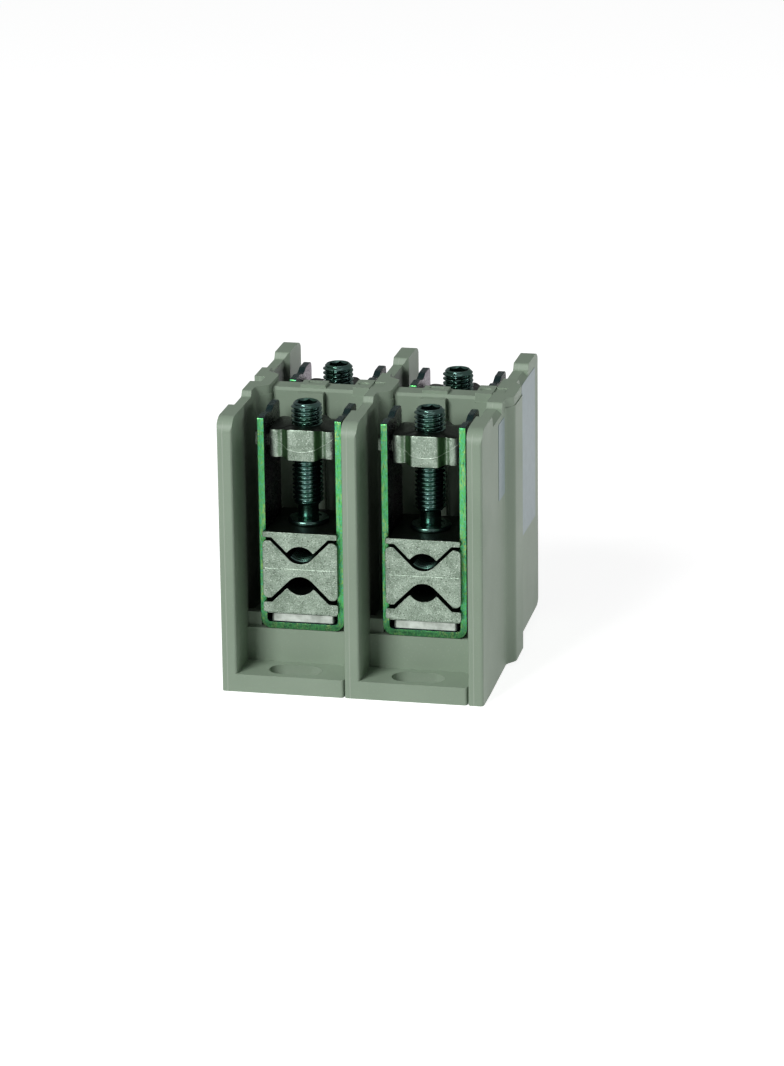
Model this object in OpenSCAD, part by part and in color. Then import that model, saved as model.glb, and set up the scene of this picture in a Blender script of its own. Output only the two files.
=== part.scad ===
// Two-pole feeder terminal strip with a screw clamp at the front and rear of each pole.
// The origin lies on the floor under the middle of the whole strip, +X to the closed end,
// +Y to the rear, +Z up. Each pole is a moulded housing, open on its right side and closed
// by the wall of the next one; the last is closed by an end plate.

/* [Poles] */
// Distance from one pole to the next
pole_pitch = 40; // [38:0.5:48]
// Clamp's offset from the middle of its bay, towards the right
clamp_shift = 0.8; // [0:0.1:1.5]

/* [Housing] */
// Depth of the housing, front to rear
housing_depth = 96; // [94:1:120]
// Height of the walls at their horns
wall_height = 90.5; // [90:0.5:110]
// Thickness of a wall at its horns
wall_thickness = 5; // [4.5:0.1:5.5]
// Thickness of a housing's wall between its horns and its thicker middle
panel_thickness = 3.2; // [2.8:0.1:4]
// Radius of the horns' outer corners
horn_corner = 5; // [2:0.5:8]
// Length of a horn, from the end of the wall to its step
horn_length = 16.5; // [12:0.5:18]
// Drop from a horn to the saddle behind it
saddle_drop = 2.2; // [1:0.1:4]
// Length of the raised block in the middle of the wall's top
crest_length = 27; // [24:1:30]
// Drop from a horn to the raised block
crest_drop = 0.3; // [0:0.1:0.8]
// Slope length of each step in the wall's top
step_run = 1.8; // [1:0.1:3]
// Rounding of the wall's upright edges
edge_round = 1; // [0.4:0.1:1.5]
// Width of the chamfer on the right edge of a saddle
saddle_chamfer = 1.6; // [0.8:0.1:2]
// How far the wall's middle stands out on its right side
swell_out = 2.7; // [1.5:0.1:3]
// Length of that thicker stretch
swell_length = 16; // [14:0.5:18]
// Height of the plain band at the top of the thicker stretch
top_band = 3; // [2:0.5:5]
// Depth of the step under the top band
band_step = 0.3; // [0.1:0.1:0.5]
// How far the end plate's underside rises towards the rear
heel_rise = 3; // [1:0.2:4]
// Radius of the end plate's lower rear corner
heel_corner = 4.5; // [2:0.5:6]
// Gap between a housing and the next wall
joint_gap = 0.25; // [0.1:0.05:0.4]

/* [Base] */
// Thickness of the base plate
base_thickness = 5.9; // [4:0.1:8]
// Length of a fixing slot, end to end
slot_length = 17.2; // [14:0.2:20]
// Width of the land in front of a fixing slot and behind it
slot_land = 2.76; // [2.4:0.02:3.2]
// Share of the free depth that lies in front of the bracket, as a ledge
ledge_share = 0.66; // [0.6:0.01:0.7]
// Height of the pedestal that carries the clamps
pedestal_height = 17; // [14:0.5:20]
// Width of a moulding pocket in the underside
pocket_width = 8; // [5:0.5:8.5]
// Wall between two moulding pockets
pocket_rib = 2.5; // [2:0.5:4]
// Thickness left above a moulding pocket
pocket_roof = 3.5; // [3:0.5:5]

/* [Web] */
// Thickness of the cross web between the two clamps
web_thickness = 8; // [6:0.5:9]
// How far the web's top lies under the horns
web_drop = 1.7; // [1:0.1:3]
// Width of the pilaster on the web
pilaster_width = 8.2; // [6:0.2:10]
// How far the pilaster stands out of the web
pilaster_out = 2.4; // [1:0.1:2.4]
// Distance of the pilaster's middle left of the clamp
pilaster_shift = 2.5; // [0:0.5:4]
// Width of the tie block at the web's right end
tie_width = 5.7; // [5:0.1:7]
// How far the tie block stands out of the web
tie_out = 1; // [0.5:0.1:2]
// Chamfer along the web's upper edges
web_chamfer = 0.9; // [0.4:0.1:1.5]
// Length of the tongue that locks into the next wall
tongue_length = 3.4; // [2:0.1:3.6]
// Width of the tongue
tongue_width = 5.4; // [4:0.2:6]
// Height of the tongue
tongue_height = 6; // [4:0.5:8]
// Clearance round the tongue in its pocket
tongue_gap = 0.2; // [0.1:0.05:0.3]

/* [Bracket] */
// Outer width of the clamp bracket
bracket_width = 27.4; // [27:0.1:29]
// Length of the bracket, front to rear
bracket_depth = 22; // [20:0.5:24]
// Thickness of the bracket's strip
strip = 2.2; // [1.8:0.1:2.4]
// Outer radius of the bracket's bends
bend = 3.4; // [2.8:0.1:4]
// How far the front ends of the legs lie under the horns
leg_drop = 3.3; // [3:0.1:5]
// Length of the level front end of a leg's top
leg_shelf = 5.5; // [4:0.5:7]
// Depth of the dip behind that level end
leg_dip = 0.9; // [0.4:0.1:1.5]
// How far the tab at the rear of a leg stands above the front
tab_rise = 0.2; // [0.1:0.1:1]

/* [Screw] */
// Thread diameter of the clamp screw
screw_d = 10; // [8:0.5:11]
// How far the screw stands above the legs
screw_rise = 2.9; // [2:0.1:4]
// Diameter of the neck under the thread
neck_d = 6.6; // [5:0.1:7]
// Length of the neck
neck_length = 6.2; // [5:0.1:8]
// Width across the flats of the hexagon socket
socket_flats = 6; // [5:0.5:6.5]
// Depth of the hexagon socket
socket_depth = 6; // [4:0.5:8]
// Outer diameter of the thrust ring
ring_d = 13.2; // [12:0.2:15]
// Height of the thrust ring
ring_height = 1.6; // [1.2:0.1:2]
// Running clearance of screw and neck, on the radius
running_gap = 0.06; // [0.03:0.01:0.09]

/* [Nut] */
// Height of the cross nut
nut_height = 10.4; // [8:0.2:12]
// Depth of the nut over its front and rear faces
nut_depth = 18.8; // [18:0.2:20]
// Width of the rounded lobe at each corner of the nut
nut_lobe = 3.2; // [2.8:0.1:3.6]
// How far the lobes' faces lie behind the middle of the nut's face
lobe_back = 1.5; // [1:0.1:2]
// Gap between the nut's body and each leg
nut_side_gap = 0.6; // [0.4:0.1:1]
// Width of the nut's ears, front to rear
ear_width = 7; // [5:0.5:8]
// Height of the nut's ears
ear_height = 5; // [4:0.5:6]
// Gap between the nut's right ear and the wall beside it
ear_room = 0.6; // [0.4:0.1:1.5]
// Distance of the nut's middle under the legs' front ends
nut_sink = 9.2; // [8:0.1:10]
// Clearance of an ear in its slot
ear_gap = 0.15; // [0.1:0.05:0.3]

/* [Jaws] */
// Width of the jaws over their end flanges
jaw_width = 24.4; // [24:0.1:25]
// How far the end flanges stand in front of the bracket's edges
flange_out = 2.2; // [1.6:0.1:2.2]
// Clearance of the jaws along and beside the legs
jaw_gap = 0.2; // [0.1:0.05:0.3]
// Height of the middle jaw
middle_height = 19.2; // [18:0.2:20]
// Radius of the round bottom of each jaw's vee
vee_radius = 5.2; // [4.6:0.1:5.6]
// Thickness of the top jaw's plate
plate_thickness = 2; // [1.6:0.1:3]
// Thickness of the bottom jaw's foot
foot_thickness = 3.4; // [2.5:0.1:4]
// Height of the outer jaws' wedges
wedge_height = 5; // [4.4:0.1:5.4]
// Half the width of the wedges across their tips
wedge_tip = 4.3; // [3.9:0.1:4.4]
// Gap between the top jaw's plate and the middle jaw
upper_gap = 0.95; // [0.8:0.05:1.5]
// Gap between the middle jaw and the bottom jaw's foot
lower_gap = 1.35; // [0.8:0.05:1.5]

/* [Link bar] */
// Gap between the link bar and each leg
link_side_gap = 1.2; // [1.2:0.1:3]
// Thickness of that bar
link_thickness = 3; // [2:0.2:5]
// Height that the bottom jaw's core stands below its foot
core_drop = 1.1; // [0.6:0.1:1.5]

/* [Hidden] */
POLES = 2;
ROWS = 2;
CLAMPS = [["front_left", 0, 0], ["front_right", 1, 0], ["rear_left", 0, 1], ["rear_right", 1, 1]];
CLAMP_PARTS = ["bracket", "nut", "screw", "thrust_ring", "top_jaw", "middle_jaw", "bottom_jaw"];

moulding = "#9ba896";
passivated = "#86a873";
dark_steel = "#40504e";
cast_grey = "#a6aca2";
tinned = "#b4b8b0";

strip_length = POLES * pole_pitch + wall_thickness + swell_out;
mid_y = housing_depth / 2;
over = 1;
arc_steps = 8;
round_fn = 48;

// Small roundings and steps of the moulding
swell_slope = 0.9;
key_depth = 5.4;
key_sink = 0.4;
key_edge = 1.8;
pilaster_sink = 0.8;
tongue_sink = 0.5;
slit_width = 1.8;
slit_depth = 1.6;
slit_shift = 0.8;
dimple_radius = 1.8;
dimple_depth = 0.5;
heel_start = 12;
rib_inset = 2;
rib_length = 3;
rib_height = 4.6;

// Small roundings and steps of the metal pieces
leg_round = 0.7;
tab_corner = 2;
dip_end = 0.47;
ramp_end = 0.67;
lobe_radius = 2.2;
lobe_lower = 0.6;
lobe_edge = 0.8;
bulge_radius = 1.5;
flute_radius = 1.05;
ear_round = 1.2;
screw_chamfer = 1;
mouth_depth = 0.7;
mouth_edge = 0.15;
ring_edge = 0.3;
ring_dome = 0.7;
ring_land = 2;
ring_slope = 0.4;
ring_dish = 0.5;
flange_round = 1.6;
tip_chamfer = 0.7;
plate_round = 0.6;
wedge_edge = 0.3;
hollow_trim = 2;
link_inset = 0.6;
bar_round = 1;

// Heights in the stack on the pedestal
bracket_floor = pedestal_height + strip;
link_top = bracket_floor + link_thickness;
foot_bottom = link_top + core_drop;
foot_top = foot_bottom + foot_thickness;
middle_z = foot_top + lower_gap + middle_height / 2;
plate_bottom = middle_z + middle_height / 2 + upper_gap;
plate_top = plate_bottom + plate_thickness;
neck_bottom = plate_top + running_gap;
thread_bottom = neck_bottom + neck_length;
leg_top = wall_height - leg_drop;
screw_top = leg_top + screw_rise;
thread_length = screw_top - thread_bottom;
nut_z = leg_top - nut_sink;

// Places of the clamps
clamp_x = wall_thickness + (pole_pitch - wall_thickness) / 2 + clamp_shift;
ledge = ledge_share * (mid_y - web_thickness / 2 - bracket_depth);
clamp_inset = ledge + bracket_depth / 2;
slot_width = ledge - 2 * slot_land;
leg_inside = bracket_width / 2 - strip;
link_width = 2 * (leg_inside - link_side_gap);
core_half = leg_inside - jaw_gap;
flange_half = jaw_width / 2;
web_top = wall_height - web_drop;
crest_top = wall_height - crest_drop;
saddle_top = wall_height - saddle_drop;

// Points of an arc about [cx, cy], from angle a to angle b
function arc(cx, cy, r, a, b, n = arc_steps) =
    [for (i = [0:n]) [cx + r * cos(a + (b - a) * i / n), cy + r * sin(a + (b - a) * i / n)]];

// The same outline seen from the other side of x = 0
function mirrored(points) = [for (i = [len(points) - 1:-1:0]) [-points[i][0], points[i][1]]];

// A smooth step from one height to another, as points of a half cosine
function step(y0, z0, y1, z1, n = 6) =
    [for (i = [0:n]) [y0 + (y1 - y0) * i / n, z0 + (z1 - z0) * (1 - cos(180 * i / n)) / 2]];

// Stands its 2D child, drawn in Y and Z, up and gives it a thickness along X
module along_x(length) {
    rotate([90, 0, 90]) linear_extrude(height = length) children();
}

// Stands its 2D child, drawn in X and Z, up and gives it a length along Y, from y0
module along_y(y0, length) {
    translate([0, y0 + length, 0]) rotate([90, 0, 0]) linear_extrude(height = length) children();
}

// Moves the housings' own corner to its place in the strip
module placed(pole) {
    translate([pole * pole_pitch - strip_length / 2, -mid_y, 0]) children();
}

// Moves a clamp, drawn about its screw, to its place
module clamp_place(c) {
    row_y = c[2] == 0 ? clamp_inset : housing_depth - clamp_inset;
    placed(c[1]) translate([clamp_x, row_y, 0]) children();
}

// Top outline of half a wall, from its end to its middle
function wall_half() = concat(
    [[0, 0]],
    arc(horn_corner, wall_height - horn_corner, horn_corner, 180, 90),
    step(horn_length, wall_height, horn_length + step_run, saddle_top),
    step(mid_y - crest_length / 2 - step_run, saddle_top, mid_y - crest_length / 2, crest_top)
);

// Side view of a wall: horns at both ends, saddles, and a raised block in the middle
module wall_outline() {
    half = wall_half();
    other = [for (i = [len(half) - 1:-1:0]) [housing_depth - half[i][0], half[i][1]]];
    polygon(concat(half, other));
}

// Plan of a wall with rounded upright edges: thick at both ends, then a thinner panel up to
// the swell in the middle
module wall_plan(swell, panel) {
    r = edge_round;
    t = wall_thickness;
    d = housing_depth;
    y0 = mid_y - swell_length / 2;
    y1 = mid_y + swell_length / 2;
    blend = swell * swell_slope;
    back = t - panel;
    near = back > 0 ? [[t, horn_length], [panel, horn_length + back * swell_slope]] : [];
    far = back > 0 ? [[panel, d - horn_length - back * swell_slope], [t, d - horn_length]] : [];
    polygon(concat(
        arc(r, r, r, 180, 270, 4),
        arc(t - r, r, r, 270, 360, 4),
        near,
        step_plan(panel, y0 - blend, t + swell, y0 + blend),
        step_plan(t + swell, y1 - blend, panel, y1 + blend),
        far,
        arc(t - r, d - r, r, 0, 90, 4),
        arc(r, d - r, r, 90, 180, 4)
    ));
}

// A smooth step in plan, from one thickness to another
function step_plan(x0, y0, x1, y1, n = 6) =
    [for (i = [0:n]) [x0 + (x1 - x0) * (1 - cos(180 * i / n)) / 2, y0 + (y1 - y0) * i / n]];

// Side view of what is cut off under the end plate, so that it stands on its front half
module heel_outline() {
    d = housing_depth;
    r = heel_corner;
    polygon(concat(
        [[heel_start, -over], [heel_start, 0]],
        arc(d - r, heel_rise + r, r, 270, 360, 5),
        [[d + over, heel_rise + r], [d + over, -over]]
    ));
}

// One wall with the pocket for the neighbour's tongue in its left face
module wall(panel) {
    y0 = horn_length;
    y1 = mid_y - crest_length / 2 - step_run;
    difference() {
        intersection() {
            along_x(wall_thickness + swell_out + over) wall_outline();
            union() {
                linear_extrude(height = crest_top - top_band) wall_plan(swell_out, panel);
                linear_extrude(height = wall_height + over) wall_plan(swell_out - band_step, panel);
            }
        }
        translate([-over, mid_y - tongue_width / 2 - tongue_gap, crest_top - tongue_height - tongue_gap])
            cube([tongue_length + tongue_gap + over, tongue_width + 2 * tongue_gap, tongue_height + over]);
        if (panel == wall_thickness) {
            saddle_edge(y0 + step_run, y1 - y0 - step_run);
            saddle_edge(housing_depth - y1, y1 - y0 - step_run);
            translate([-over, 0, 0]) along_x(wall_thickness + swell_out + 2 * over) heel_outline();
        }
    }
}

// Prism that takes the right edge off a saddle, from y0 on
module saddle_edge(y0, length) {
    x = wall_thickness - saddle_chamfer;
    reach = saddle_chamfer + over;
    along_y(y0, length)
        polygon([
            [x, saddle_top],
            [x + reach, saddle_top - reach],
            [x + reach, saddle_top + over],
            [x, saddle_top + over]
        ]);
}

// Slot with round ends, cut down through the base
module fixing_slot() {
    reach = (slot_length - slot_width) / 2;
    height = base_thickness + 2 * over;
    translate([0, 0, -over]) {
        for (side = [-1, 1]) translate([side * reach, 0, 0])
            cylinder(h = height, d = slot_width, $fn = round_fn);
        translate([-reach, -slot_width / 2, 0]) cube([2 * reach, slot_width, height]);
    }
}

// Base plate, pedestal and the moulding pockets in its underside
module base() {
    x0 = panel_thickness - over;
    x1 = pole_pitch - joint_gap;
    inner = x1 - wall_thickness;
    run = housing_depth - 2 * ledge;
    half_run = (run - 3 * pocket_rib) / 2;
    pockets = floor((inner - pocket_rib) / (pocket_width + pocket_rib));
    first = wall_thickness + (inner - pockets * (pocket_width + pocket_rib) + pocket_rib) / 2;
    difference() {
        union() {
            translate([x0, 0, 0]) linear_extrude(height = base_thickness)
                base_plan(x1 - x0, housing_depth);
            translate([x0, ledge, 0]) cube([x1 - x0, run, pedestal_height]);
        }
        for (y = [ledge / 2, housing_depth - ledge / 2])
            translate([slot_x(), y, 0]) fixing_slot();
        for (i = [0:pockets - 1], row = [0:1])
            translate([
                first + i * (pocket_width + pocket_rib),
                ledge + pocket_rib + row * (half_run + pocket_rib),
                -over
            ]) cube([pocket_width, half_run, pedestal_height - pocket_roof + over]);
    }
}

// The slots lie in the middle of the open bay
function slot_x() = (wall_thickness + pole_pitch) / 2;

// Plan of the base plate, rounded at its two right corners
module base_plan(length, depth) {
    r = edge_round;
    polygon(concat(
        [[0, 0]],
        arc(length - r, r, r, 270, 360, 4),
        arc(length - r, depth - r, r, 0, 90, 4),
        [[0, depth]]
    ));
}

// Block that stands on the pedestal, from x0 to x1, at y0, with its own depth and top
module upright(x0, x1, y0, depth, top) {
    z0 = pedestal_height - over;
    translate([x0, y0, z0]) cube([x1 - x0, depth, top - z0]);
}

// The web itself, with a chamfer along both upper edges
module web_wall(x0, length) {
    w = web_thickness / 2;
    z = web_top;
    c = web_chamfer;
    z0 = pedestal_height - over;
    translate([x0, mid_y, 0]) along_x(length)
        polygon([[-w, z0], [w, z0], [w, z - c], [w - c, z], [-w + c, z], [-w, z - c]]);
}

// Cross web with its pilasters, key, tie block and tongue
module web() {
    x0 = wall_thickness;
    x1 = pole_pitch - joint_gap;
    px = clamp_x - pilaster_shift - pilaster_width / 2;
    pilaster_depth = web_thickness + 2 * pilaster_out;
    tie_x = x1 - tie_width;
    tie_depth = web_thickness + 2 * tie_out;
    key_rise = crest_top - web_top - key_sink;
    tongue_reach = joint_gap + tongue_length - tongue_gap;
    difference() {
        union() {
            web_wall(x0 - over, x1 - x0 + over);
            upright(px, px + pilaster_width, mid_y - pilaster_depth / 2, pilaster_depth,
                web_top - pilaster_sink);
            upright(px, px + pilaster_width, mid_y - key_depth / 2, key_depth, web_top + key_rise);
            upright(tie_x, x1, mid_y - tie_depth / 2, tie_depth, crest_top - top_band);
            upright(tie_x + band_step, x1, mid_y - tie_depth / 2 + band_step, tie_depth - 2 * band_step,
                crest_top);
            translate([x1 - over, mid_y - tongue_width / 2, crest_top - tongue_height])
                cube([tongue_reach + over, tongue_width, tongue_height - tongue_sink]);
        }
        // Slit in the key and dimple in the tie block
        translate([px + key_edge, mid_y - slit_width / 2 + slit_shift, web_top + key_rise - slit_depth])
            cube([pilaster_width - 2 * key_edge, slit_width, slit_depth + over]);
        translate([tie_x + tie_width / 2, mid_y, crest_top]) dimple();
        // Window for the link bar and the space behind the brackets
        translate([clamp_x - window_width() / 2, mid_y - web_thickness, pedestal_height])
            cube([window_width(), 2 * web_thickness, link_top + joint_gap - pedestal_height]);
    }
}

function window_width() = link_width + 4 * joint_gap;

// Shallow round dimple
module dimple() {
    translate([0, 0, -dimple_depth]) cylinder(h = dimple_depth + over, r = dimple_radius, $fn = round_fn);
}

// Small locating rib on the pedestal beside each bracket
module locating_rib(row) {
    y = row == 0 ? clamp_inset : housing_depth - clamp_inset;
    x0 = panel_thickness - over;
    width = clamp_x - bracket_width / 2 - joint_gap - x0;
    translate([x0, y - bracket_depth / 2 + rib_inset, pedestal_height - over])
        cube([width, rib_length, rib_height + over]);
}

module housing() {
    color(moulding) {
        wall(panel_thickness);
        base();
        web();
        for (row = [0:ROWS - 1]) locating_rib(row);
    }
}

module end_plate() {
    color(moulding) wall(wall_thickness);
}

// Side view of a leg: a level shelf at the front, a dip, and a ramp up to the tab at the rear
module leg_outline() {
    d = bracket_depth / 2;
    top = leg_top;
    polygon(concat(
        [[-d, 0]],
        arc(-d + leg_round, top - leg_round, leg_round, 180, 90, 3),
        step(-d + leg_shelf, top, -d + dip_end * bracket_depth, top - leg_dip, 5),
        step(-d + dip_end * bracket_depth + over / 4, top - leg_dip, -d + ramp_end * bracket_depth,
            top + tab_rise, 6),
        arc(d - tab_corner, top + tab_rise - tab_corner, tab_corner, 90, 0, 5),
        [[d, 0]]
    ));
}

// Front view of the bracket: a strip bent to a U
module bracket_outline() {
    w = bracket_width / 2;
    z = pedestal_height;
    inner = bend - strip;
    top = leg_top + tab_rise + over;
    right = concat(
        arc(w - bend, z + bend, bend, 270, 360, 6),
        [[w, top], [w - strip, top]],
        arc(w - bend, z + bend, inner, 360, 270, 6)
    );
    polygon(concat(right, mirrored(right)));
}

module bracket() {
    slot_y = ear_width + 2 * ear_gap;
    slot_z = ear_height + 2 * ear_gap;
    color(passivated) difference() {
        intersection() {
            along_y(-bracket_depth / 2, bracket_depth) bracket_outline();
            translate([-bracket_width / 2 - over, 0, 0]) along_x(bracket_width + 2 * over) leg_outline();
        }
        translate([-bracket_width / 2 - over, -slot_y / 2, nut_z - slot_z / 2])
            cube([bracket_width + 2 * over, slot_y, slot_z]);
    }
}

// Half the nut's width, the middle of a flute, and the end of the flat in the nut's face
function nut_half() = leg_inside - nut_side_gap;
function flute_x() = nut_half() - nut_lobe - flute_radius;
function nut_flat() = flute_x() - flute_radius - bulge_radius;

// Plan of one corner of the nut: rounded end of the flat, flute, and rounded lobe set back
function nut_corner() =
    let (face = -nut_depth / 2)
    concat(
        arc(nut_flat(), face + bulge_radius, bulge_radius, 270, 360, 5),
        arc(flute_x(), face + bulge_radius, flute_radius, 160, 20, 6),
        arc(nut_half() - lobe_radius, face + lobe_back + lobe_radius, lobe_radius, 245, 360, 7)
    );

module nut_plan() {
    q = nut_corner();
    rear = [for (i = [len(q) - 1:-1:0]) [q[i][0], -q[i][1]]];
    right = concat(q, rear);
    polygon(concat(right, mirrored(right)));
}

// Front view of the nut's body, with lobes slightly lower than the middle
module nut_front() {
    w = nut_half();
    h = nut_height / 2;
    low = h - lobe_lower;
    r = lobe_edge;
    right = concat(
        [[nut_flat(), -h]],
        arc(w - r, -low + r, r, 270, 360, 3),
        arc(w - r, low - r, r, 0, 90, 3),
        [[nut_flat(), h]]
    );
    polygon(concat(right, mirrored(right)));
}

// Cast cross nut: its ears reach out through the bracket's legs
module nut() {
    reach = pole_pitch - clamp_x - ear_room;
    color(cast_grey) translate([0, 0, nut_z]) difference() {
        union() {
            intersection() {
                translate([0, 0, -nut_height]) linear_extrude(height = 2 * nut_height) nut_plan();
                along_y(-nut_depth, 2 * nut_depth) nut_front();
            }
            along_y(-ear_width / 2, ear_width) ear_outline(reach, ear_height / 2);
        }
        translate([0, 0, -nut_height])
            cylinder(h = 2 * nut_height, r = screw_d / 2 + running_gap, $fn = round_fn);
    }
}

// Both ears in front view, with rounded tips
module ear_outline(reach, h) {
    r = ear_round;
    right = concat(arc(reach - r, -h + r, r, 270, 360, 4), arc(reach - r, h - r, r, 0, 90, 4));
    polygon(concat(right, mirrored(right)));
}

// Set screw with a hexagon socket, and a plain neck held in the thrust ring
module screw() {
    r = screw_d / 2;
    chamfer = screw_chamfer;
    mouth = socket_flats / 2 / cos(30) + mouth_edge;
    color(dark_steel) difference() {
        union() {
            translate([0, 0, neck_bottom]) cylinder(h = neck_length + over, d = neck_d, $fn = round_fn);
            translate([0, 0, thread_bottom])
                cylinder(h = chamfer, r1 = r - chamfer, r2 = r, $fn = round_fn);
            translate([0, 0, thread_bottom + chamfer])
                cylinder(h = thread_length - 2 * chamfer, r = r, $fn = round_fn);
            translate([0, 0, screw_top - chamfer])
                cylinder(h = chamfer, r1 = r, r2 = r - chamfer, $fn = round_fn);
        }
        translate([0, 0, screw_top - socket_depth])
            cylinder(h = socket_depth + over, d = socket_flats / cos(30), $fn = 6);
        translate([0, 0, screw_top - mouth_depth])
            cylinder(h = mouth_depth + over, r1 = mouth - mouth_depth, r2 = mouth + over, $fn = round_fn);
    }
}

// Domed ring that holds the screw's neck on the top jaw
module thrust_ring() {
    hole = neck_d / 2 + running_gap;
    r = ring_d / 2;
    top = plate_top + ring_height;
    color(dark_steel) rotate_extrude($fn = round_fn) polygon(concat(
        [[hole, plate_top], [r - ring_edge, plate_top], [r, plate_top + ring_edge]],
        arc(r - ring_dome, top - ring_dome, ring_dome, 0, 90, 4),
        [[r - ring_land, top], [r - ring_land - ring_slope, top - ring_dish], [hole, top - ring_dish]]
    ));
}

// Round bottom of a vee whose flanks run through [0, 0] at 45 degrees
function vee_arc() = arc(0, vee_radius * sqrt(2), vee_radius, 225, 315, 10);

// Front view of the middle jaw: a bow tie with a vee above and below. Its core passes between
// the legs, and its end flanges overlap their edges
module middle_jaw_outline() {
    w = flange_half;
    h = middle_height / 2;
    r = flange_round;
    tip = tip_chamfer;
    top = concat(
        arc(-w + r, h - r, r, 180, 90, 5),
        arc(-h - tip * tan(22.5), h - tip, tip, 90, 45, 3),
        vee_arc(),
        arc(h + tip * tan(22.5), h - tip, tip, 135, 90, 3),
        arc(w - r, h - r, r, 90, 0, 5)
    );
    bottom = [for (i = [len(top) - 1:-1:0]) [top[i][0], -top[i][1]]];
    polygon(concat(top, bottom));
}

// Front view of an outer jaw with its wedge up: plate, flanks and a round hollow between the tips
module wedge_outline(plate) {
    w = flange_half;
    r = plate_round;
    flank = wedge_tip + wedge_height;
    rise = sqrt(vee_radius * vee_radius - wedge_tip * wedge_tip);
    a = asin(wedge_tip / vee_radius);
    right = concat(
        arc(w - r, -plate + r, r, 270, 360, 4),
        arc(w - r, -r, r, 0, 90, 4),
        [[flank, 0], [wedge_tip + wedge_edge, wedge_height - wedge_edge]],
        arc(0, wedge_height + rise, vee_radius, 270 + a - hollow_trim, 270, 6)
    );
    polygon(concat(right, mirrored(right)));
}

module middle_jaw() {
    color(cast_grey) translate([0, 0, middle_z]) jaw_at_zero() middle_jaw_outline();
}

// A jaw drawn about z = 0, so that its outline can be moved afterwards
module jaw_at_zero() {
    core_depth = bracket_depth + 2 * jaw_gap;
    flange = flange_out - jaw_gap;
    intersection() {
        along_y(-core_depth / 2 - over / 2, core_depth + over) children();
        translate([-core_half, -bracket_depth, -middle_height])
            cube([2 * core_half, 2 * bracket_depth, 2 * middle_height]);
    }
    for (side = [-1, 1])
        along_y(side * (core_depth + flange) / 2 - flange / 2, flange) children();
}

module top_jaw() {
    color(cast_grey) translate([0, 0, plate_bottom]) rotate([0, 180, 0])
        jaw_at_zero() wedge_outline(plate_thickness);
}

// The bottom jaw's core stands on the link bar, its end flanges hang free in front of it
module bottom_jaw() {
    color(cast_grey) {
        translate([0, 0, foot_top]) jaw_at_zero() wedge_outline(foot_thickness);
        translate([-core_half, -bracket_depth / 2, link_top])
            cube([2 * core_half, bracket_depth, core_drop + over]);
    }
}

// Tinned bar that carries the current from the front clamp to the rear one
module link_bar() {
    length = housing_depth - 2 * (ledge + link_inset);
    color(tinned) translate([clamp_x - link_width / 2, mid_y - length / 2, bracket_floor])
        linear_extrude(height = link_thickness) bar_plan(link_width, length);
}

// Plan of the bar with its corners rounded
module bar_plan(width, length) {
    r = bar_round;
    polygon(concat(
        arc(r, r, r, 180, 270, 4),
        arc(width - r, r, r, 270, 360, 4),
        arc(width - r, length - r, r, 0, 90, 4),
        arc(r, length - r, r, 90, 180, 4)
    ));
}

placed(0) housing();  // housing_left
placed(1) housing();  // housing_right
placed(POLES) end_plate();
placed(0) link_bar();  // link_bar_left
placed(1) link_bar();  // link_bar_right
for (c = CLAMPS) {
    clamp_place(c) bracket();
    clamp_place(c) nut();
    clamp_place(c) screw();
    clamp_place(c) thrust_ring();
    clamp_place(c) top_jaw();
    clamp_place(c) middle_jaw();
    clamp_place(c) bottom_jaw();
}
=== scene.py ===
import math

import bmesh
import bpy
from mathutils import Matrix, Vector


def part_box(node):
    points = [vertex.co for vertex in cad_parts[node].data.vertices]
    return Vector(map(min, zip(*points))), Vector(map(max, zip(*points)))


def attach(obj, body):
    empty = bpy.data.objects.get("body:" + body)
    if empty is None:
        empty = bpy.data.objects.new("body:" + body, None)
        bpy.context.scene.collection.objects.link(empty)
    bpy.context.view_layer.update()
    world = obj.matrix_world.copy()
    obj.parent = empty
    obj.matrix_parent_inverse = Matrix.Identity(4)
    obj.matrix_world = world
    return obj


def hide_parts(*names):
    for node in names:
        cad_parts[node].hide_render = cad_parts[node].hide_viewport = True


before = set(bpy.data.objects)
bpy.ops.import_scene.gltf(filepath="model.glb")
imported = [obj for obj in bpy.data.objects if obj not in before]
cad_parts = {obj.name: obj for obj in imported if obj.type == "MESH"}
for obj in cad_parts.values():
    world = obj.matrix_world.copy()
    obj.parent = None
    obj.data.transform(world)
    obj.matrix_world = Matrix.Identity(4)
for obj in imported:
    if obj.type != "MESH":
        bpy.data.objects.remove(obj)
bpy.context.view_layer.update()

mm = 0.001

# Camera
# The strip is seen from a little to the right of its front and from above, through a long lens,
# with the whole of both poles in view.
camera_azimuth = math.radians(12.43)
camera_elevation = math.radians(17.76)
camera_roll = math.radians(-0.73)
camera_distance = 1517.4 * mm
camera_target = Vector((3.1 * mm, -6.2 * mm, 42.3 * mm))
camera_lens = 158.7
film_side = 36

towards_camera = Vector((
    math.sin(camera_azimuth) * math.cos(camera_elevation),
    -math.cos(camera_azimuth) * math.cos(camera_elevation),
    math.sin(camera_elevation),
))
camera_data = bpy.data.cameras.new("photo_camera")
camera_data.sensor_fit = "VERTICAL"
camera_data.sensor_height = film_side
camera_data.lens = camera_lens
camera_data.clip_start = 0.1
camera_data.clip_end = 20
camera = bpy.data.objects.new("photo_camera", camera_data)
bpy.context.collection.objects.link(camera)
level_right = Vector((math.cos(camera_azimuth), math.sin(camera_azimuth), 0))
level_up = towards_camera.cross(level_right)
camera_right = level_right * math.cos(camera_roll) + level_up * math.sin(camera_roll)
camera_up = level_up * math.cos(camera_roll) - level_right * math.sin(camera_roll)
camera_turn = Matrix((camera_right, camera_up, towards_camera)).transposed()
camera.matrix_world = (
    Matrix.Translation(camera_target + towards_camera * camera_distance) @ camera_turn.to_4x4()
)
bpy.context.scene.camera = camera

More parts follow.
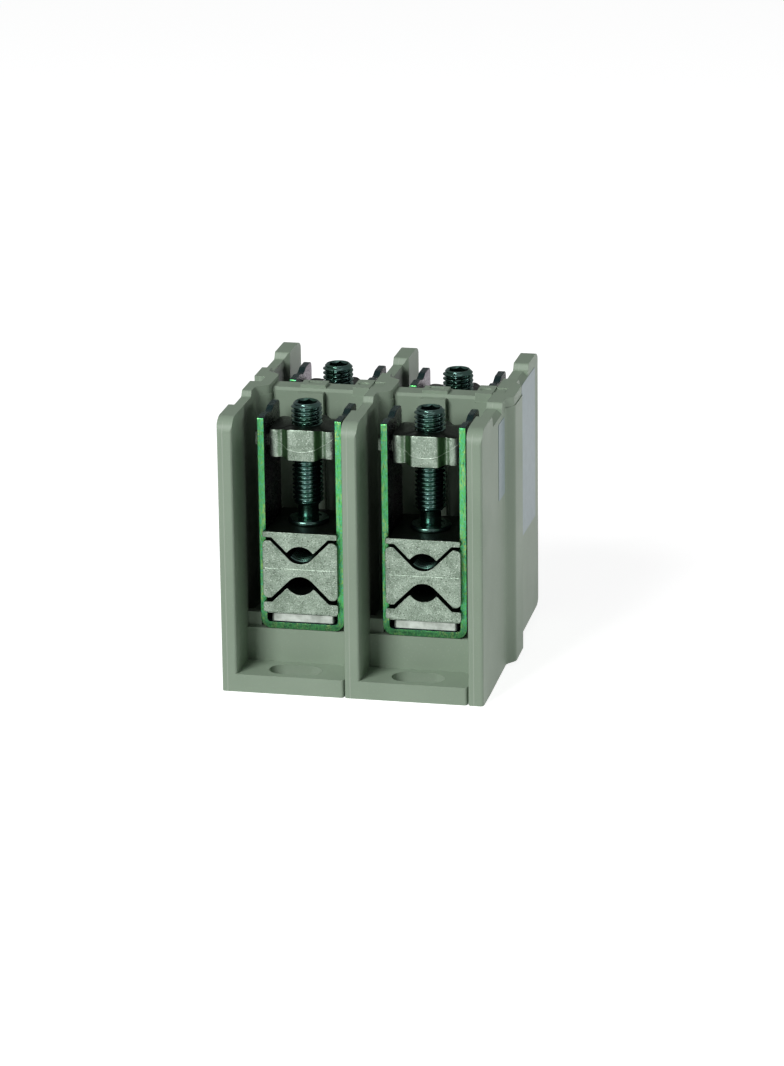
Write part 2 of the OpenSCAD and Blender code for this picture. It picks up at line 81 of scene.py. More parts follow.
# Moulded housings and end plate
# Each pole sits in a compression-moulded grey thermoset housing, and a plate of the same
# moulding closes the last one. The edges come out of the mould with a small radius.
moulding_light = (0.296, 0.378, 0.288, 1)
moulding_dark = (0.258, 0.336, 0.252, 1)
moulding_speck = (0.345, 0.418, 0.335, 1)
moulding_line = (0.430, 0.500, 0.415, 1)
moulding_edge = 0.9 * mm
pole_pitch = 40 * mm
line_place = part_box("housing_left")[0][0] + 1.9 * mm
moulding_grain = 0.035 * mm
line_inner = 0.08 * mm
line_outer = 0.22 * mm
flat_angle = math.radians(0.6)
edge_angle = math.radians(32)
weld_distance = 0.001 * mm
shading_weight = 60
noise_roughness = 0.55


class Wire:
    """A value in a finish's nodes, worked on with + - * / or passed to another node."""

    def __init__(self, tree, socket=None):
        self.tree = tree
        self.socket = socket

    def node(self, kind, settings=None, inputs=None, output=0):
        made = self.tree.nodes.new(kind)
        for name, value in (settings or {}).items():
            setattr(made, name, value)
        for name, value in (inputs or {}).items():
            if isinstance(value, Wire):
                self.tree.links.new(value.socket, made.inputs[name])
            else:
                made.inputs[name].default_value = value
        return Wire(self.tree, made.outputs[output])

    def maths(self, operation, first, second=0.0):
        return self.node("ShaderNodeMath", {"operation": operation}, {0: first, 1: second})

    def __add__(self, other):
        return self.maths("ADD", self, other)

    __radd__ = __add__

    def __mul__(self, other):
        return self.maths("MULTIPLY", self, other)

    __rmul__ = __mul__

    def __sub__(self, other):
        return self.maths("SUBTRACT", self, other)

    def __rsub__(self, other):
        return self.maths("SUBTRACT", other, self)

    def between(self, low, high):
        """0 below low, 1 above high, and a straight line from one to the other."""
        return self.node(
            "ShaderNodeMapRange", {"clamp": True},
            {"Value": self, "From Min": low, "From Max": high, "To Min": 0.0, "To Max": 1.0},
        )

    def blend(self, first, second):
        """The first colour where this is 0, and the second where it is 1."""
        settings = {"data_type": "RGBA", "clamp_factor": True}
        return self.node("ShaderNodeMix", settings, {0: self, 6: first, 7: second}, 2)


def new_finish(name):
    """An empty material, with the wire that its nodes start from and its places in metres."""
    material = bpy.data.materials.new(name)
    material.use_nodes = True
    material.node_tree.nodes.clear()
    start = Wire(material.node_tree)
    return material, start, start.node("ShaderNodeTexCoord", output="Object")


def surface(material, start, fixed, varying):
    """Ends a finish in one shader, with what stays the same set on its own sockets."""
    tree = material.node_tree
    shader = start.node("ShaderNodeBsdfPrincipled", None, {**fixed, **varying})
    output = tree.nodes.new("ShaderNodeOutputMaterial")
    tree.links.new(shader.socket, output.inputs["Surface"])
    return material


def stretched(start, place, scale):
    """The places squeezed or stretched along each axis."""
    return start.node("ShaderNodeMapping", {"vector_type": "POINT"}, {"Vector": place, "Scale": scale})


def parts(start, vector):
    """The x, y and z of a place or a direction."""
    split = start.node("ShaderNodeSeparateXYZ", None, {0: vector}).socket.node
    return [Wire(start.tree, split.outputs[letter]) for letter in "XYZ"]


def directions(start):
    """How far the surface faces along x, y and z."""
    return parts(start, start.node("ShaderNodeNewGeometry", output="Normal"))


def noise(start, place, scale, detail=3.0):
    """Soft random clouds, with the scale in waves to a metre."""
    return start.node(
        "ShaderNodeTexNoise", None,
        {"Vector": place, "Scale": scale, "Detail": detail, "Roughness": noise_roughness},
    )


def bump(start, height, distance, strength):
    """The surface's direction, tilted by a height that varies over it."""
    return start.node(
        "ShaderNodeBump", None, {"Height": height, "Distance": distance, "Strength": strength}
    )


def moulding_finish():
    """Grey thermoset with faint clouds, pale specks, a fine grain and a parting line on each wall."""
    material, start, place = new_finish("grey_moulding")
    cloud = noise(start, place, 38, 4).between(0.35, 0.68)
    speck = noise(start, place, 1500, 2).between(0.60, 0.74)
    flow = noise(start, stretched(start, place, (60, 60, 14)), 1, 3).between(0.3, 0.7)
    colour = (cloud * 0.6 + flow * 0.4).blend(moulding_light, moulding_dark)
    colour = (speck * 0.55).blend(colour, moulding_speck)
    across = parts(start, place)[0]
    from_line = start.maths("PINGPONG", across - line_place, pole_pitch / 2)
    facing = directions(start)[1]
    line = (1.0 - from_line.between(line_inner, line_outer)) * (0.0 - facing).between(0.6, 0.9)
    colour = (line * 0.6).blend(colour, moulding_line)
    grain = noise(start, place, 900, 3)
    ripple = noise(start, place, 150, 2)
    rough = 0.40 + cloud * 0.07 + grain * 0.08
    normal = bump(start, grain * 0.6 + ripple * 0.8 + line * 2.0, moulding_grain, 0.7)
    fixed = {"Metallic": 0.0, "IOR": 1.5, "Specular IOR Level": 0.42}
    varying = {"Base Color": colour, "Roughness": rough, "Normal": normal}
    return surface(material, start, fixed, varying)


joined = bpy.data.node_groups.new("joined_surface", "GeometryNodeTree")
joined.interface.new_socket("Geometry", in_out="INPUT", socket_type="NodeSocketGeometry")
joined.interface.new_socket("Geometry", in_out="OUTPUT", socket_type="NodeSocketGeometry")
chain = joined.nodes.new("NodeGroupInput").outputs[0]
for kind, values in (
    ("GeometryNodeRemoveAttribute", {"Name": "custom_normal"}),
    ("GeometryNodeMergeByDistance", {"Distance": weld_distance}),
    ("GeometryNodeSetShadeSmooth", {"Shade Smooth": True}),
):
    step = joined.nodes.new(kind)
    for socket, value in values.items():
        step.inputs[socket].default_value = value
    joined.links.new(chain, step.inputs[0])
    chain = step.outputs[0]
joined.links.new(chain, joined.nodes.new("NodeGroupOutput").inputs[0])


def worked(node, finish, edge, segments=3):
    """A solid in its finish, its edges rounded as the tool or the mould leaves them."""
    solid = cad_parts[node]
    for place in solid.material_slots:
        place.material = finish
    whole = solid.modifiers.new("joined_surface", "NODES")
    whole.node_group = joined
    flat = solid.modifiers.new("flat_faces", "DECIMATE")
    flat.decimate_type = "DISSOLVE"
    flat.angle_limit = flat_angle
    rounding = solid.modifiers.new("rounded_edges", "BEVEL")
    rounding.limit_method = "ANGLE"
    rounding.angle_limit = edge_angle
    rounding.width = edge
    rounding.segments = segments
    rounding.use_clamp_overlap = True
    shading = solid.modifiers.new("even_shading", "WEIGHTED_NORMAL")
    shading.weight = shading_weight


grey_moulding = moulding_finish()
for node in ("housing_left", "housing_right", "end_plate"):
    worked(node, grey_moulding, moulding_edge)

# Label plates
# Two thin satin foils are stuck on the end plate's outer face, a small one in front of its
# thicker middle and a large one behind it. They are left bare.
foil_thickness = 0.12 * mm
foil_colour = (0.265, 0.365, 0.390, 1)
foil_shade = (0.232, 0.325, 0.350, 1)
foil_corner = 0.8 * mm
foil_grain = 0.01 * mm
weld_points = 0.0005 * mm
wall_thickness = 5 * mm
foil_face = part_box("end_plate")[0][0] + wall_thickness
foils = {
    "end_plate_small_label": ((-21.0, 59.5), (-11.2, 84.8)),
    "end_plate_large_label": ((18.2, 35.5), (41.6, 86.6)),
}


def new_piece(name, points, faces, material, smooth_angle=None):
    """A mesh piece from its points and faces, in metres, with its normals turned outwards."""
    mesh = bpy.data.meshes.new(name)
    mesh.from_pydata(points, [], faces)
    shape = bmesh.new()
    shape.from_mesh(mesh)
    bmesh.ops.remove_doubles(shape, verts=shape.verts, dist=weld_points)
    bmesh.ops.recalc_face_normals(shape, faces=shape.faces)
    for face in shape.faces:
        face.smooth = smooth_angle is not None
    shape.to_mesh(mesh)
    shape.free()
    if smooth_angle is not None:
        mesh.set_sharp_from_angle(angle=smooth_angle)
    mesh.materials.append(material)
    piece = bpy.data.objects.new(name, mesh)
    bpy.context.collection.objects.link(piece)
    return piece


def foil_finish():
    """Bluish grey bare foil with a satin face."""
    material, start, place = new_finish("bare_label_foil")
    cloud = noise(start, place, 260, 3).between(0.3, 0.7)
    colour = cloud.blend(foil_colour, foil_shade)
    rough = 0.30 + noise(start, place, 700, 2) * 0.12
    normal = bump(start, noise(start, place, 420, 2), foil_grain, 0.5)
    fixed = {"Metallic": 0.0, "Specular IOR Level": 0.5}
    return surface(material, start, fixed, {"Base Color": colour, "Roughness": rough, "Normal": normal})


label_foil = foil_finish()
for name, ((y0, z0), (y1, z1)) in foils.items():
    outline = []
    for cy, cz, turn in ((y1, z1, 0), (y0, z1, 90), (y0, z0, 180), (y1, z0, 270)):
        inner_y = cy * mm - math.copysign(foil_corner, cy - (y0 + y1) / 2)
        inner_z = cz * mm - math.copysign(foil_corner, cz - (z0 + z1) / 2)
        for step in range(5):
            angle = math.radians(turn + 22.5 * step)
            corner_y = inner_y + foil_corner * math.cos(angle)
            corner_z = inner_z + foil_corner * math.sin(angle)
            outline.append((corner_y, corner_z))
    count = len(outline)
    points = [(foil_face + lift, y, z) for lift in (0.0, foil_thickness) for y, z in outline]
    faces = [tuple(range(count)), tuple(range(count, 2 * count))]
    faces += [(i, (i + 1) % count, count + (i + 1) % count, count + i) for i in range(count)]
    foil = new_piece(name, points, faces, label_foil)
    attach(foil, "root")

# Link bars
# A sawn and tinned bar lies in each pole under both clamps and carries the current from the
# front to the rear.
bar_light = (0.60, 0.66, 0.60, 1)
bar_dark = (0.40, 0.45, 0.40, 1)
bar_edge = 0.35 * mm
bar_grain = 0.05 * mm


def bar_finish():
    """Tinned bar with fine drawing lines and dull patches."""
    material, start, place = new_finish("tinned_bar")
    lines = noise(start, stretched(start, place, (30, 30, 2600)), 1, 3)
    patch = noise(start, place, 320, 4).between(0.35, 0.65)
    colour = patch.blend(bar_light, bar_dark)
    rough = 0.26 + patch * 0.16 + lines * 0.08
    normal = bump(start, lines * 0.7 + noise(start, place, 1100, 2) * 0.6, bar_grain, 0.8)
    fixed = {"Metallic": 0.75}
    return surface(material, start, fixed, {"Base Color": colour, "Roughness": rough, "Normal": normal})


tinned = bar_finish()
for node in ("link_bar_left", "link_bar_right"):
    worked(node, tinned, bar_edge)

# Clamp brackets
# Each clamp hangs in a strip of steel that is stamped, bent to a U, zinc plated and passivated.
# The stamped edges shine green and yellow, and the rolled faces are dark with a violet cast.
edge_green = (0.105, 0.480, 0.120, 1)
edge_lime = (0.340, 0.560, 0.160, 1)
edge_mint = (0.110, 0.520, 0.300, 1)
# dark green of the random streaks, and of the painted shade low on the bracket
edge_streak_and_shade = (0.020, 0.080, 0.030, 1)
edge_painted_glint = (0.720, 0.850, 0.640, 1)
top_painted_teal = (0.020, 0.060, 0.060, 1)
face_blue = (0.016, 0.020, 0.030, 1)
face_violet = (0.050, 0.022, 0.052, 1)
strip_edge = 0.22 * mm
strip_grain = 0.06 * mm
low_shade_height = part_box("front_left_bracket")[0][2] + 1.2 * mm
low_shade_fade = 7 * mm


def passivated_finish():
    """Stamped edges in mottled greens with painted glints and painted shade towards the bottom, rolled
    faces in dark blue and violet, and upward faces in a painted teal.
    """
    material, start, place = new_finish("passivated_strip")
    facing, upwards = directions(start)[1:]
    stamped = start.maths("ABSOLUTE", facing).between(0.55, 0.85)
    upper = upwards.between(0.55, 0.85)
    mottle = noise(start, stretched(start, place, (2600, 1500, 1500)), 1, 3).between(0.44, 0.62)
    drift = noise(start, stretched(start, place, (700, 200, 260)), 1, 3).between(0.48, 0.66)
    scratch = noise(start, stretched(start, place, (3600, 1500, 420)), 1, 3).between(0.56, 0.70)
    # painted highlight: pale glint specks scattered over the stamped edges
    painted_glint_specks = noise(start, stretched(start, place, (3000, 2000, 1800)), 1, 2).between(0.66, 0.74)
    edge = mottle.blend(drift.blend(edge_green, edge_lime), edge_mint)
    edge = (scratch * 0.75).blend(edge, edge_streak_and_shade)
    edge = (painted_glint_specks * 0.7).blend(edge, edge_painted_glint)
    # painted shade: the stamped edges are darkened towards the bottom of the bracket, near its bend
    bent = 1.0 - parts(start, place)[2].between(low_shade_height, low_shade_height + low_shade_fade)
    edge = (bent * (0.72 + mottle * 0.26)).blend(edge, edge_streak_and_shade)
    face = noise(start, place, 55, 2).between(0.4, 0.6).blend(face_blue, face_violet)
    # painted shading: faces turned upwards get their own teal, chosen only by the way they face
    colour = stamped.blend(upper.blend(face, top_painted_teal), edge)
    rough = 0.26 + stamped * 0.06 + mottle * 0.12
    grain = mottle * 0.8 + noise(start, place, 1800, 2) * 0.5 - scratch * 0.6
    normal = bump(start, grain, strip_grain, 0.8)
    fixed = {"Metallic": 0.85, "Specular IOR Level": 0.5}
    return surface(material, start, fixed, {"Base Color": colour, "Roughness": rough, "Normal": normal})


passivated = passivated_finish()
clamps = ("front_left", "front_right", "rear_left", "rear_right")
for clamp in clamps:
    worked(clamp + "_bracket", passivated, strip_edge, 2)

# Cross nuts
# A cast nut spans each bracket near its top, with ears that reach out through the legs and
# take the screw's thrust. The casting is tin plated and keeps its grain.
cast_light = (0.325, 0.405, 0.330, 1)
cast_dark = (0.215, 0.280, 0.218, 1)
cast_pit = (0.070, 0.090, 0.070, 1)
cast_painted_glint = (0.660, 0.760, 0.660, 1)
cast_painted_shade = (0.020, 0.027, 0.020, 1)
flute_painted_reflection = (0.055, 0.150, 0.050, 1)
cast_grain = 0.06 * mm
flute_end = 7.6 * mm
lobe_start = 8.6 * mm
seam_inner = 0.04 * mm
seam_outer = 0.14 * mm
seam_drop = 2.2 * mm
seam_rise = 5.0 * mm


def cast_finish(name, with_flutes):
    """Satin casting with a sandy grain, fine pits and painted glints; faces lying flat are painted near
    black as shade.
    """
    material, start, place = new_finish(name)
    cloud = noise(start, place, 260, 4).between(0.36, 0.66)
    sand = noise(start, place, 2300, 3)
    pits = noise(start, place, 2700, 2).between(0.57, 0.66)
    # painted highlight: pale glint specks over the casting
    painted_glints = noise(start, stretched(start, place, (1, 1, 1.3)), 2400, 2).between(0.58, 0.68)
    colour = cloud.blend(cast_light, cast_dark)
    colour = (painted_glints * 0.75).blend(colour, cast_painted_glint)
    colour = (pits * 0.85).blend(colour, cast_pit)
    sideways, _, upwards = directions(start)
    seam_ridge_and_highlight = 0.0
    if with_flutes:
        across, _, height = parts(start, place)
        away = start.maths("PINGPONG", across - seam_middle, pole_pitch / 2)
        # painted reflection: the flutes' sideways faces get a dark green
        flute_reflection_mask = start.maths("ABSOLUTE", sideways).between(0.20, 0.62)
        flute_reflection_mask = flute_reflection_mask * (1.0 - away.between(flute_end, lobe_start))
        colour = (flute_reflection_mask * 0.92).blend(colour, flute_painted_reflection)
        rise = height - seam_height - away * away * seam_bend
        seam_ridge_and_highlight = 1.0 - start.maths("ABSOLUTE", rise).between(seam_inner, seam_outer)
        # the seam is partly real and partly painted: its ridge is in the bump, its pale line a painted
        # highlight
        colour = (seam_ridge_and_highlight * 0.5).blend(colour, cast_painted_glint)
    # painted shade: faces that lie flat, up or down, are darkened to near black, the ribbed hollows too
    level = start.maths("ABSOLUTE", upwards).between(0.35, 0.62)
    colour = level.blend(colour, cast_painted_shade)
    rough = 0.30 + cloud * 0.10 + sand * 0.14
    normal = bump(start, sand * 0.9 - pits * 0.7 + cloud * 0.3 + seam_ridge_and_highlight * 1.5, cast_grain, 0.85)
    fixed = {"Metallic": 0.95}
    return surface(material, start, fixed, {"Base Color": colour, "Roughness": rough, "Normal": normal})


nut_half_width = 10.9 * mm
nut_half_depth = 9.4 * mm
nut_half_height = 5.2 * mm
nut_bore = 5.06 * mm
nut_round = 0.45 * mm
nut_crease = math.radians(32)
lobe_lower = 0.6 * mm
fall_start = 3.6 * mm
fall_run = 3.4 * mm
ear_half_width = 3.5 * mm
ear_half_height = 2.5 * mm
ear_round = 0.9 * mm
ear_root = 9.6 * mm
nut_corner = (
    (1.2, 0.0), (3.6, 0.0), (4.1, 0.05), (4.5, 0.22), (4.9, 0.55), (5.3, 1.0), (5.7, 1.5), (6.1, 1.9),
    (6.6, 2.12), (7.1, 2.0), (7.5, 1.75), (8.0, 1.53), (8.6, 1.48), (9.2, 1.52), (9.8, 1.70), (10.3, 2.05),
    (10.65, 2.6), (10.85, 3.4), (10.9, 4.6),
)


def nut_ring(inset):
    """The nut's plan with its flutes and lobes, drawn in by the inset, as places from its middle."""
    right = [(x * mm, y * mm - nut_half_depth) for x, y in nut_corner]
    right += [(x, -y) for x, y in reversed(right)]
    whole = right + [(-x, y) for x, y in reversed(right)]
    ring = []
    for i, (x, y) in enumerate(whole):
        before, after = whole[i - 1], whole[(i + 1) % len(whole)]
        run_x, run_y = after[0] - before[0], after[1] - before[1]
        length = math.hypot(run_x, run_y)
        ring.append((x - inset * run_y / length, y + inset * run_x / length))
    return ring


def nut_body(centre):
    """Points and faces of the nut: its outside with rounded edges, and the bore for the screw."""
    edges = ((nut_round, 0.0), (nut_round * 0.3, nut_round * 0.3), (0.0, nut_round))
    rows = [(inset, -1, drop) for inset, drop in edges]
    rows += [(inset, 1, drop) for inset, drop in reversed(edges)]
    points = []
    for inset, side, drop in rows:
        for x, y in nut_ring(inset):
            share = min(max((abs(x) - fall_start) / fall_run, 0.0), 1.0)
            high = nut_half_height - lobe_lower * share * share * (3 - 2 * share) - drop
            points.append((centre.x + x, centre.y + y, centre.z + side * high))
    for side in (1, -1):
        for x, y in nut_ring(0.0):
            reach = nut_bore / math.hypot(x, y)
            points.append((centre.x + x * reach, centre.y + y * reach, centre.z + side * nut_half_height))
    count = 4 * len(nut_corner)
    around_rows = len(points) // count
    faces = []
    for i in range(around_rows):
        for k in range(count):
            right = (k + 1) % count
            above = (i + 1) % around_rows * count
            faces.append((i * count + k, i * count + right, above + right, above + k))
    return points, faces


def nut_ears(centre, low_x, high_x, points, faces):
    """Two blocks with rounded edges that reach out of the nut's sides."""
    section = []
    for side_y, side_z, turn in ((1, 1, 0), (-1, 1, 90), (-1, -1, 180), (1, -1, 270)):
        for step in range(4):
            angle = math.radians(turn + 30 * step)
            section.append((
                side_y * (ear_half_width - ear_round) + ear_round * math.cos(angle),
                side_z * (ear_half_height - ear_round) + ear_round * math.sin(angle),
            ))
    count = len(section)
    for root, tip in ((centre.x - ear_root, low_x), (centre.x + ear_root, high_x)):
        base = len(points)
        for x in (root, tip):
            points += [(x, centre.y + y, centre.z + z) for y, z in section]
        faces += [(base + i, base + (i + 1) % count, base + count + (i + 1) % count, base + count + i)
                  for i in range(count)]
        faces += [tuple(range(base, base + count)), tuple(range(base + count, base + 2 * count))]


low, high = (Vector(corner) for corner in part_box("front_left_screw"))
seam_middle = (low.x + high.x) / 2
low, high = (Vector(corner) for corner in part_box("front_left_nut"))
seam_height = (low.z + high.z) / 2 - seam_drop
seam_bend = seam_rise / nut_half_width ** 2
cast_metal = cast_finish("cast_metal", False)
nut_metal = cast_finish("cast_nut_metal", True)
for clamp in clamps:
    low, high = (Vector(corner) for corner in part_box(clamp + "_nut"))
    screw_low, screw_high = (Vector(corner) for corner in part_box(clamp + "_screw"))
    centre = (screw_low + screw_high) / 2
    centre.z = (low.z + high.z) / 2
    points, faces = nut_body(centre)
    nut_ears(centre, low.x, high.x, points, faces)
    nut = new_piece(clamp + "_cast_nut", points, faces, nut_metal, nut_crease)
    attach(nut, "root")
    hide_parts(clamp + "_nut")

# Clamp screws
# Each set screw has a rolled M10 thread, a hexagon socket in its end and a turned neck that is
# held in the thrust ring. The steel is plated and dark, with sharp bright lines.
thread_pitch = 1.5 * mm
thread_depth = 0.86 * mm
thread_radius = 4.98 * mm
thread_crest = 0.16
thread_flank = 0.68
thread_runout = 0.2 * mm
thread_crease = math.radians(38)
neck_radius = 3.3 * mm
neck_length = 6.2 * mm
neck_chamfer = 0.3 * mm
end_chamfer = 1.15 * mm
socket_flat = 3 * mm
socket_depth = 6 * mm
socket_mouth = 3.6 * mm
socket_slope = 1.1
socket_point = 1 * mm
socket_lip = 0.1 * mm
steel_grain = 0.02 * mm
around = 96
rows_per_turn = 12
steel_dark = (0.130, 0.225, 0.205, 1)
steel_green = (0.085, 0.190, 0.140, 1)


def steel_finish():
    """Dark bright plating with a faint green bloom and fine rolling marks."""
    material, start, place = new_finish("dark_plated_steel")
    bloom = noise(start, place, 180, 3).between(0.4, 0.65)
    marks = noise(start, stretched(start, place, (300, 300, 3200)), 1, 2)
    colour = bloom.blend(steel_dark, steel_green)
    rough = 0.16 + bloom * 0.05 + marks * 0.06
    normal = bump(start, marks, steel_grain, 0.5)
    fixed = {"Metallic": 1.0}
    return surface(material, start, fixed, {"Base Color": colour, "Roughness": rough, "Normal": normal})


def thread_offset(turns):
    """How deep the thread is cut at a place in turns: a flat crest, 60 degree flanks, a narrow root."""
    part = turns % 1.0
    away = abs(part - 0.5) * 2
    return thread_depth * min(max((away - thread_crest) / thread_flank, 0.0), 1.0)


def hexagon(angle):
    """Distance from the socket's axis to its wall."""
    return socket_flat / math.cos((angle + math.pi / 6) % (math.pi / 3) - math.pi / 6)


def screw_rows(z_low, z_top):
    """Rows of the screw's surface from the neck's end to the socket's floor, as functions of the angle."""
    z_thread = z_low + neck_length
    rows = [lambda a: (0.0, z_low)]
    rows.append(lambda a: (neck_radius - neck_chamfer, z_low))
    rows.append(lambda a: (neck_radius, z_low + neck_chamfer))
    rows.append(lambda a: (neck_radius, z_thread - neck_chamfer))
    rows.append(lambda a: (neck_radius + thread_runout, z_thread))
    count = int((z_top - z_thread) / thread_pitch * rows_per_turn)
    for i in range(count + 1):
        z = z_thread + (z_top - z_thread) * i / count

        def row(a, z=z):
            cut = thread_offset(z / thread_pitch - a / (2 * math.pi))
            room = min(z - z_thread, z_top - z)
            limit = thread_radius - max(end_chamfer - room, 0.0)
            return (min(thread_radius - cut, limit), z)

        rows.append(row)
    lip = thread_radius - end_chamfer
    rows.append(lambda a: (min(lip, socket_mouth + socket_lip), z_top))
    rows.append(lambda a: (socket_mouth, z_top))
    rows.append(lambda a: (hexagon(a), z_top - (socket_mouth - hexagon(a)) * socket_slope))
    rows.append(lambda a: (hexagon(a), z_top - socket_depth))
    rows.append(lambda a: (0.0, z_top - socket_depth - socket_point))
    return rows


def turned(name, centre_x, centre_y, rows, material, smooth_angle):
    """A closed surface round an upright axis, one ring of points to a row."""
    points = []
    for row in rows:
        for k in range(around):
            angle = 2 * math.pi * k / around
            radius, z = row(angle)
            x = centre_x + radius * math.cos(angle)
            points.append((x, centre_y + radius * math.sin(angle), z))
    faces = []
    for i in range(len(rows) - 1):
        row, above = i * around, (i + 1) * around
        for k in range(around):
            right = (k + 1) % around
            faces.append((row + k, row + right, above + right, above + k))
    return new_piece(name, points, faces, material, smooth_angle)


dark_steel = steel_finish()
for clamp in clamps:
    low, high = (Vector(corner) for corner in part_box(clamp + "_screw"))
    centre = (low + high) / 2
    rows = screw_rows(low.z, high.z)
    name = clamp + "_threaded_screw"
    screw = turned(name, centre.x, centre.y, rows, dark_steel, thread_crease)
    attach(screw, clamp + "_clamp_screw")
    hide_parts(clamp + "_screw")

# Thrust rings
# A turned ring is staked on the top jaw's plate round the screw's neck, so that the screw pulls
# the jaw up when it is backed out.
ring_edge = 0.12 * mm
for clamp in clamps:
    worked(clamp + "_thrust_ring", dark_steel, ring_edge, 2)

# Clamping jaws
# Three cast jaws are stacked between the legs: a wedge under a plate, a double vee, and a wedge
# on a foot. Their end flanges lap over the legs' edges, and the round hollows are ribbed for grip.
rib_pitch = 1.9 * mm
rib_height = 0.36 * mm
rib_foot = 0.4 * mm
rib_sink = 0.15 * mm
rib_half_span = 44
rib_steps = 14
rib_crease = math.radians(30)
vee_radius = 5.2 * mm
jaw_edge = 0.3 * mm
band_height = 1.5 * mm
band_flat = 0.75
band_out = 0.08 * mm
band_sink = 0.05 * mm
band_inset = 0.5 * mm
band_drop = 0.9 * mm


def rib_ring(centre_x, centre_z, y, middle_angle, points, faces):
    """One rib of triangular section, bent along a hollow, with its crest towards the conductor."""
    base = len(points)
    outer = vee_radius + rib_sink
    inner = vee_radius - rib_height
    for i in range(rib_steps + 1):
        angle = math.radians(middle_angle + rib_half_span * (2 * i / rib_steps - 1))
        for radius, along in ((outer, -rib_foot), (inner, 0.0), (outer, rib_foot)):
            x = centre_x + radius * math.cos(angle)
            points.append((x, y + along, centre_z + radius * math.sin(angle)))
    for i in range(rib_steps):
        for k in range(3):
            a = base + 3 * i + k
            b = base + 3 * i + (k + 1) % 3
            faces.append((a, b, b + 3, a + 3))
    last = base + 3 * rib_steps
    faces.append((base, base + 1, base + 2))
    faces.append((last, last + 1, last + 2))


def jaw_ribs(name, body, centre_x, low_y, high_y, hollows):
    """All the ribs of one jaw in one piece; a hollow is its centre's height and its middle's angle."""
    points, faces = [], []
    count = int((high_y - low_y - 2 * rib_pitch) / rib_pitch)
    for centre_z, middle_angle in hollows:
        for i in range(count + 1):
            y = (low_y + high_y) / 2 + (i - count / 2) * rib_pitch
            rib_ring(centre_x, centre_z, y, middle_angle, points, faces)
    ribs = new_piece(name, points, faces, dark_steel, rib_crease)
    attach(ribs, body)


def face_band(name, body, low, high, z):
    """The raised parting band across a jaw's end faces."""
    points, faces = [], []
    for y, out in ((low.y, -1), (high.y, 1)):
        base = len(points)
        shoulder = band_height * band_flat
        section = ((0.0, -band_sink), (0.0, band_out), (shoulder, band_out), (band_height, -band_sink))
        for x in (low.x + band_inset, high.x - band_inset):
            points += [(x, y + out * depth, z + height) for height, depth in section]
        faces += [(base + i, base + (i + 1) % 4, base + 4 + (i + 1) % 4, base + 4 + i) for i in range(4)]
        faces += [(base, base + 1, base + 2, base + 3), (base + 4, base + 5, base + 6, base + 7)]
    band = new_piece(name, points, faces, cast_metal)
    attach(band, body)


for clamp in clamps:
    for jaw in ("top_jaw", "middle_jaw", "bottom_jaw"):
        worked(f"{clamp}_{jaw}", cast_metal, jaw_edge)
    low, high = (Vector(corner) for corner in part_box(clamp + "_middle_jaw"))
    centre = (low + high) / 2
    lift = vee_radius * math.sqrt(2)
    jaw_ribs(
        clamp + "_middle_jaw_ribs", clamp + "_divider", centre.x, low.y, high.y,
        ((centre.z + lift, 270), (centre.z - lift, 90)),
    )
    face_band(clamp + "_middle_jaw_band", clamp + "_divider", low, high, centre.z - band_drop)

# Floor, light and surroundings
# A white floor under soft light: a large key from the front left, a soft box level with the
# strip's right side, a faint one overhead, and a dim pale room whose white shows behind it all.
floor_reach = 4
floor_grey = (0.62, 0.62, 0.62, 1)
floor_glow = 0.86
room_tint = (0.93, 0.97, 1.0, 1)
room_dim = 0.04
room_mirrored = 0.2
pure_white = (1, 1, 1, 1)
lamp_distance = 1.5
lamp_aim = Vector((0, 0, 0.05))
floor_mesh = bpy.data.meshes.new("floor")
corners = [(floor_reach * x, floor_reach * y, 0) for x, y in ((-1, -1), (1, -1), (1, 1), (-1, 1))]
floor_mesh.from_pydata(corners, [], [(0, 1, 2, 3)])
floor = bpy.data.objects.new("floor", floor_mesh)
bpy.context.collection.objects.link(floor)
paper, start, _ = new_finish("white_paper")
sheet = start.node("ShaderNodeBsdfDiffuse", None, {"Color": floor_grey})
glow = start.node("ShaderNodeEmission", None, {"Color": pure_white, "Strength": floor_glow})
both = start.node("ShaderNodeAddShader", None, {0: sheet, 1: glow})
rays = start.node("ShaderNodeLightPath", output="Is Camera Ray")
mirrored_rays = Wire(start.tree, rays.socket.node.outputs["Is Glossy Ray"])
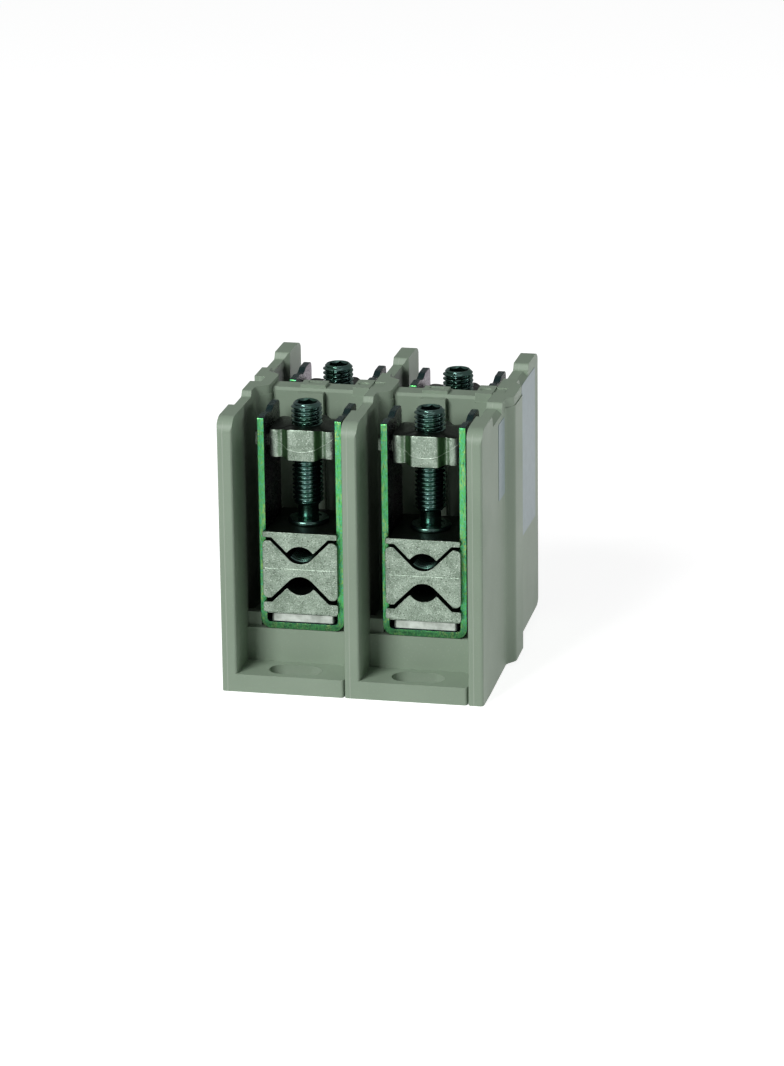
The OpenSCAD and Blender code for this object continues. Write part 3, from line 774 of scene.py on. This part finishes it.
passed_rays = Wire(start.tree, rays.socket.node.outputs["Is Transmission Ray"])
share = rays + mirrored_rays + passed_rays
mixed = start.node("ShaderNodeMixShader", None, {0: share, 1: sheet, 2: both})
paper_output = paper.node_tree.nodes.new("ShaderNodeOutputMaterial")
paper.node_tree.links.new(mixed.socket, paper_output.inputs["Surface"])
floor_mesh.materials.append(paper)

world = bpy.data.worlds.new("pale_room")
world.use_nodes = True
bpy.context.scene.world = world
world.node_tree.nodes.clear()
room = Wire(world.node_tree)
rays = room.node("ShaderNodeLightPath", output="Is Camera Ray")
mirrored_rays = Wire(room.tree, rays.socket.node.outputs["Is Glossy Ray"])
passed_rays = Wire(room.tree, rays.socket.node.outputs["Is Transmission Ray"])
dim = room.node("ShaderNodeBackground", None, {"Color": room_tint, "Strength": room_dim})
white = room.node("ShaderNodeBackground", None, {"Color": pure_white, "Strength": 1.0})
share = rays + passed_rays + mirrored_rays * room_mirrored
shown = room.node("ShaderNodeMixShader", None, {0: share, 1: dim, 2: white})
world_output = world.node_tree.nodes.new("ShaderNodeOutputWorld")
world.node_tree.links.new(shown.socket, world_output.inputs["Surface"])

lamps = {
    "key_lamp": {"azimuth": -25, "elevation": 34, "size": 0.6, "power": 18.5},
    "side_lamp": {"azimuth": 90, "elevation": 8, "size": 0.6, "power": 6.8},
    "top_lamp": {"azimuth": 20, "elevation": 82, "size": 0.8, "power": 1},
}
for name, lamp in lamps.items():
    azimuth = math.radians(lamp["azimuth"])
    elevation = math.radians(lamp["elevation"])
    towards = Vector((
        math.sin(azimuth) * math.cos(elevation),
        -math.cos(azimuth) * math.cos(elevation),
        math.sin(elevation),
    ))
    light = bpy.data.lights.new(name, "AREA")
    light.shape = "SQUARE"
    light.size = lamp["size"]
    light.energy = lamp["power"]
    source = bpy.data.objects.new(name, light)
    source.location = towards * lamp_distance + lamp_aim
    source.rotation_euler = towards.to_track_quat("Z", "Y").to_euler()
    bpy.context.collection.objects.link(source)

bpy.context.scene.view_settings.view_transform = "Standard"
